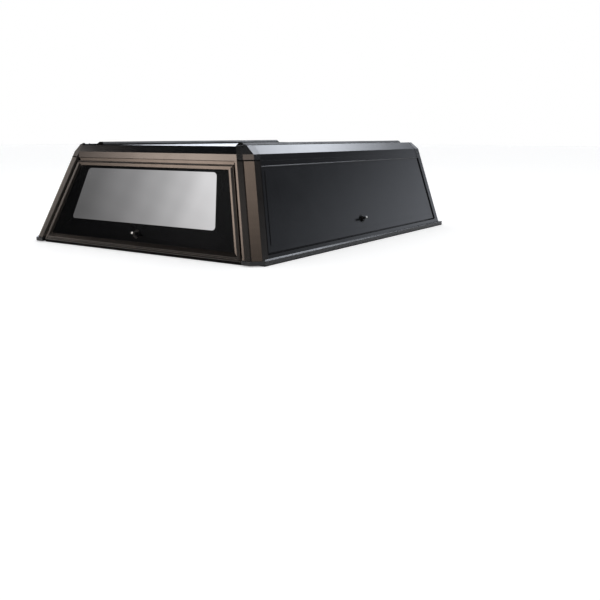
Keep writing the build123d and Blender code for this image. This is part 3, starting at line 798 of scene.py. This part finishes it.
def key_barrel():
    """Key barrel in the grip of a lock, and a black slab on it that paints the shade of its keyway, drawn
    on the lock's own plane.
    """
    radius, depth, middle = 0.0062, 0.0034, 0.0003
    clear_selection()
    bpy.ops.mesh.primitive_cylinder_add(vertices=40, radius=radius, depth=depth, location=(0, 0, middle))
    barrel = bpy.context.active_object
    open_mesh(barrel)
    pick(barrel, "FACE", lambda co, no: no.z > 0.9)
    bpy.ops.mesh.inset(thickness=0.0009)
    bpy.ops.mesh.extrude_region_move(TRANSFORM_OT_translate={"value": (0, 0, -0.0005)})
    bpy.ops.transform.resize(value=(0.94, 0.94, 1))
    top = middle + depth / 2
    pick(barrel, "EDGE", lambda co, no: co.z > top - 0.0002 and co.xy.length > radius - 0.0004)
    bpy.ops.mesh.bevel(offset=0.0004, segments=2)
    close_mesh()
    # Painted shade: the keyway is a thin black slab on the barrel, not a cut slot.
    long = 0.0068
    keyway = box((0.0011, long, 0.0004), (0, 0, 0.0015))
    pick(keyway, "EDGE", lambda co, no: abs(abs(co.y) - long / 2) < 0.0001 and abs(co.x) > 0.0004)
    bpy.ops.mesh.bevel(offset=0.0004, segments=3)
    close_mesh()
    return barrel, keyway


def lock_barrels():
    """Key barrels, and the black slabs that paint the shade of their keyways, in the locks of the hatch and
    of both doors.
    """
    barrel, keyway = key_barrel()
    middle = (DOOR_OUTLINE[0][0] + DOOR_OUTLINE[1][0]) / 2
    side = RIGHT_SIDE @ Matrix.Translation((middle, DOOR_OUTLINE[0][1] + DOOR_LOCK_RISE, LOCK_GRIP_TOP))
    rear = REAR_SIDE @ Matrix.Translation((0, HATCH_FOOT + HATCH_LOCK_RISE, LOCK_GRIP_TOP - GLASS_DEPTH))
    # The keyway slabs take seal rubber's black as the painted shade of the slot.
    for source, word, look in ((barrel, "barrel", "key_steel"), (keyway, "keyway", "seal_rubber")):
        at_rear = copy_of(source)
        settle(at_rear, rear)
        settle(source, side)
        twin = mirrored_copy(source)
        finish(at_rear, "hatch_key_" + word, look, "hatch_lock")
        finish(source, "right_door_key_" + word, look, "right_door_lock")
        finish(twin, "left_door_key_" + word, look, "left_door_lock")


# Roof tracks and castings

def track_cap():
    """Moulded end cap of a roof track, with its sloping nose toward -Y."""
    wide, crown, low, tall, long = 0.042, 0.024, 0.008, 0.0195, 0.012
    obj = box((wide, long, low), (0, -long / 2, low / 2))
    pick(obj, "FACE", lambda co, no: no.z > 0.9)
    bpy.ops.mesh.extrude_region_move(TRANSFORM_OT_translate={"value": (0, 0, tall - low)})
    bpy.ops.transform.resize(value=(crown / wide, 1, 1))
    pick(obj, "EDGE", lambda co, no: co.z > tall - 0.001 and co.y < -long + 0.001)
    bpy.ops.transform.translate(value=(0, 0.0085, -0.0015))
    pick(obj, "EDGE", lambda co, no: co.y < -0.0015)
    bpy.ops.mesh.bevel(offset=0.0012, segments=3)
    close_mesh()
    return obj


def track_bolt():
    """Low round bolt head with a socket, for the tracks and the castings."""
    depth = 0.003
    clear_selection()
    bpy.ops.mesh.primitive_cylinder_add(vertices=28, radius=0.0046, depth=depth, location=(0, 0, depth / 2))
    obj = bpy.context.active_object
    open_mesh(obj)
    pick(obj, "FACE", lambda co, no: no.z > 0.9)
    bpy.ops.mesh.inset(thickness=0.0012)
    bpy.ops.transform.translate(value=(0, 0, 0.0006))
    bpy.ops.mesh.inset(thickness=0.0010)
    bpy.ops.mesh.extrude_region_move(TRANSFORM_OT_translate={"value": (0, 0, -0.0016)})
    close_mesh()
    return obj


def roof_track_pieces():
    """End caps and bolt rows of the roof tracks."""
    low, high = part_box("roof_track_right")
    middle = (low[0] + high[0]) / 2
    cap = track_cap()
    front = copy_of(cap)
    front.rotation_euler = (0, 0, math.pi)
    bpy.ops.object.transform_apply(location=False, rotation=True, scale=False)
    settle(cap, Matrix.Translation((middle, low[1], PANEL_TOP)))
    settle(front, Matrix.Translation((middle, high[1], PANEL_TOP)))
    for obj, word in ((cap, "rear"), (front, "front")):
        finish_pair(obj, "track_cap_" + word, "seal_rubber")
    count, end_gap = 7, 0.06
    step = (high[1] - low[1] - 2 * end_gap) / (count - 1)
    spots = [((1, 1, 1), (middle, low[1] + end_gap + step * k, PANEL_TOP + CHANNEL_FLOOR))
             for k in range(count)]
    finish_pair(joined_copies(track_bolt(), spots), "track_bolts", "bolt_steel")


def corner_screws():
    """A screw and a larger plug that hold each rear casting on the roof panel."""
    base = CASTING_TOP - 0.0001
    spots = [((0.9, 0.9, 0.6), (0.618, -0.836, base)), ((1.8, 1.8, 1.8), (0.627, -0.874, base))]
    finish_pair(joined_copies(track_bolt(), spots), "casting_screws", "cap_coating")


door_seals()
hatch_seals()
hatch_wiper()
front_window_gasket()
roof_sealant()
joint_strip()
door_gap_shade_strips()
hatch_gap_shade_strips()
casting_joint_shade_bands()
sill_beads()
window_film()
lock_barrels()
roof_track_pieces()
corner_screws()


# Stage, light and camera

def pale_floor():
    """Matt white floor; what the camera sees of it is lifted to plain white, with the shadow kept."""
    clear_selection()
    bpy.ops.mesh.primitive_plane_add(size=80, location=(0, 0, 0))
    floor = bpy.context.active_object
    floor.name = "floor"
    material, tree, shader, _ = new_material("pale_floor")
    shader.inputs["Base Color"].default_value = (0.80, 0.80, 0.80, 1)
    shader.inputs["Roughness"].default_value = 0.9
    shader.inputs["Specular IOR Level"].default_value = 0.1
    path = tree.nodes.new("ShaderNodeLightPath")
    glow = math_node(tree, "MULTIPLY", path.outputs["Is Camera Ray"], FLOOR_GLOW)
    tree.links.new(glow, shader.inputs["Emission Strength"])
    shader.inputs["Emission Color"].default_value = (1, 1, 1, 1)
    floor.data.materials.append(material)


def soft_box(name, place, target, size, level):
    """A rectangular soft light of a given brightness that faces a point."""
    light = bpy.data.lights.new(name, "AREA")
    light.shape = "RECTANGLE"
    light.size, light.size_y = size
    light.energy = level * math.pi * size[0] * size[1]
    lamp = bpy.data.objects.new(name, light)
    bpy.context.scene.collection.objects.link(lamp)
    lamp.location = place
    way = Vector(target) - Vector(place)
    lamp.rotation_euler = way.to_track_quat("-Z", "Y").to_euler()
    lamp.visible_camera = False


def profile(tree, value, stops):
    """A smooth curve through (value, level) pairs, flat outside them."""
    low, high = stops[0][0], stops[-1][0]
    top = max(level for at, level in stops)
    node = tree.nodes.new("ShaderNodeValToRGB")
    node.color_ramp.interpolation = "EASE"
    while len(node.color_ramp.elements) < len(stops):
        node.color_ramp.elements.new(0.5)
    for element, (at, level) in zip(node.color_ramp.elements, stops):
        share = level / top
        element.position = (at - low) / (high - low)
        element.color = (share, share, share, 1)
    tree.links.new(between(tree, value, low, high), node.inputs["Fac"])
    return math_node(tree, "MULTIPLY", node.outputs["Color"], top)


def panel_glow(tree, azimuth, height, across, up, colour):
    """Light of one studio panel: its level across the azimuth times its level up the height."""
    level = math_node(tree, "MULTIPLY", profile(tree, azimuth, across), profile(tree, height, up))
    tinted = tree.nodes.new("ShaderNodeVectorMath")
    tinted.operation = "SCALE"
    tinted.inputs[0].default_value = colour
    tree.links.new(level, tinted.inputs["Scale"])
    return tinted.outputs["Vector"]


def add_colours(tree, parts):
    total = parts[0]
    for part in parts[1:]:
        node = tree.nodes.new("ShaderNodeVectorMath")
        node.operation = "ADD"
        tree.links.new(total, node.inputs[0])
        tree.links.new(part, node.inputs[1])
        total = node.outputs["Vector"]
    return total


# Panels that only reflections see: azimuth left of straight back and height, in degrees.
COOL = (0.93, 0.98, 1.08)
WARM = (1.16, 0.94, 0.80)
PANELS = [
    # light off the horizon, on the side doors
    ([(-180, 1.0), (-157, 1.0), (-152, 0.78), (-148, 0.50), (-142, 0.40), (-80, 0.5), (-60, 0.4),
      (-10, 0.35), (15, 0.04), (82, 0.04), (110, 0.5), (132, 1.9), (150, 1.9), (165, 1.0), (180, 1.0)],
     [(-90, 0.8), (0, 0.9), (5, 1.08), (10.2, 1.02), (12.2, 0.80), (14, 0.57), (16.5, 0.27), (18.6, 0.06),
      (20, 0.15), (21.5, 0.30), (24, 0.34), (28, 0.12), (40, 0.03), (90, 0.10)], COOL),
    # the soft panel in the rear window
    ([(30, 0.0), (36, 0.2), (42, 0.66), (44, 0.75), (45.8, 0.68), (47.5, 0.52), (49.4, 0.39), (51.5, 0.27),
      (54, 0.165), (58, 0.08), (70, 0.04), (80, 0.0)],
     [(10, 0.1), (14, 0.40), (17.7, 0.64), (19.4, 0.79), (21, 0.90), (22.5, 1.0), (24.4, 1.12), (25.3, 1.0),
      (27, 0.0)], (1.0, 0.99, 0.995)),
    # low warm strip on the header and the hatch's top bar
    ([(30, 0.0), (36, 0.9), (40, 1.0), (44.5, 1.0), (46.2, 0.75), (47.8, 0.35), (49.2, 0.12), (51.5, 0.04),
      (54, 0.0)],
     [(1, 0.0), (3.2, 1.0), (8, 1.0), (10.5, 0.0)], tuple(8.2 * c for c in WARM)),
    # pale panel beside the window's, on the left post
    ([(55.0, 0.0), (57.0, 1.0), (60, 1.0), (63, 0.0)],
     [(11, 0.0), (15, 0.65), (20, 1.0), (23, 1.0), (26, 0.0)], (3.9, 3.6, 3.4)),
    # warm panel at the left, on the inner bevels
    ([(61, 0.0), (65, 1.0), (71, 1.0), (75, 0.05), (78, 0.05), (81, 1.0), (87, 1.0), (91, 0.0)],
     [(5, 0.0), (9, 1.0), (19, 1.0), (24, 0.0)], tuple(5.4 * c for c in WARM)),
    # high panel at the right rear, on the corner facets
    ([(-72, 0.0), (-64, 1.0), (-46, 1.0), (-38, 0.0)],
     [(40, 0.05), (43, 0.30), (46, 0.85), (49, 1.2), (58, 1.2), (68, 0.0)], tuple(3.1 * c for c in WARM)),
    # low panels behind, on the upright edges
    ([(-68, 0.0), (-60, 0.5), (-40, 0.5), (-30, 0.2), (-24, 1.0), (-8, 1.0), (0, 0.0)],
     [(17, 0.0), (21, 1.0), (27, 1.0), (31, 0.0)], (5.4, 5.2, 5.0)),
]
# The long panel over the front, on the sloping roof edge: levels around straight ahead, and up the height
FRONT_ACROSS = [(0, 1.0), (14, 1.0), (20, 0.0), (22, 0.0)]
FRONT_UP = [(22, 0.05), (25.0, 0.15), (27, 0.38), (29, 1.40), (31.6, 4.6), (34.5, 6.0), (37, 4.1),
            (40, 3.0), (46, 1.5), (52, 0.0)]


def studio_world():
    """White surroundings for the camera, even light, and soft panels in reflections."""
    world = bpy.data.worlds.new("studio")
    bpy.context.scene.world = world
    world.use_nodes = True
    tree = world.node_tree
    path = tree.nodes.new("ShaderNodeLightPath")
    way = tree.nodes.new("ShaderNodeTexCoord").outputs["Generated"]
    split = tree.nodes.new("ShaderNodeSeparateXYZ")
    tree.links.new(way, split.inputs["Vector"])
    back = math_node(tree, "MULTIPLY", split.outputs["Y"], -1.0)
    left = math_node(tree, "MULTIPLY", split.outputs["X"], -1.0)
    turn = math_node(tree, "DEGREES", math_node(tree, "ARCTAN2", left, back))
    height = math_node(tree, "DEGREES", math_node(tree, "ARCSINE", split.outputs["Z"]))
    ahead = math_node(tree, "SUBTRACT", 180.0, math_node(tree, "ABSOLUTE", turn))
    parts = [panel_glow(tree, turn, height, across, up, colour) for across, up, colour in PANELS]
    parts.append(panel_glow(tree, ahead, height, FRONT_ACROSS, FRONT_UP, (0.95, 1.0, 1.09)))
    mirror = tree.nodes.new("ShaderNodeBackground")
    tree.links.new(add_colours(tree, parts), mirror.inputs["Color"])
    even = tree.nodes["Background"]
    even.inputs["Color"].default_value = (0.98, 0.99, 1.0, 1)
    even.inputs["Strength"].default_value = EVEN_LIGHT
    white = tree.nodes.new("ShaderNodeBackground")
    white.inputs["Color"].default_value = (1, 1, 1, 1)
    seen = math_node(tree, "MAXIMUM", path.outputs["Is Camera Ray"], path.outputs["Is Transmission Ray"])
    inner = tree.nodes.new("ShaderNodeMixShader")
    tree.links.new(path.outputs["Is Glossy Ray"], inner.inputs["Fac"])
    tree.links.new(even.outputs[0], inner.inputs[1])
    tree.links.new(mirror.outputs[0], inner.inputs[2])
    outer = tree.nodes.new("ShaderNodeMixShader")
    tree.links.new(seen, outer.inputs["Fac"])
    tree.links.new(inner.outputs[0], outer.inputs[1])
    tree.links.new(white.outputs[0], outer.inputs[2])
    tree.links.new(outer.outputs[0], tree.nodes["World Output"].inputs["Surface"])


def photo_camera():
    """Camera at the photograph's place and angle."""
    data = bpy.data.cameras.new("camera")
    data.lens = CAMERA_LENS
    data.sensor_width = SENSOR_WIDTH
    data.shift_x = SHIFT_IN_PIXELS[0] / IMAGE_SIZE
    data.shift_y = SHIFT_IN_PIXELS[1] / IMAGE_SIZE
    cam = bpy.data.objects.new("camera", data)
    bpy.context.scene.collection.objects.link(cam)
    cam.location = CAMERA_PLACE
    cam.rotation_euler = (math.pi / 2 - CAMERA_PITCH, 0, CAMERA_YAW)
    bpy.context.scene.camera = cam


pale_floor()
soft_box("top_soft_box", (-1.5, 1.0, 7.0), (0, 0, 0), (5.0, 5.0), SOFT_BOX_LEVEL)
studio_world()
photo_camera()
bpy.context.scene.view_settings.view_transform = "Standard"
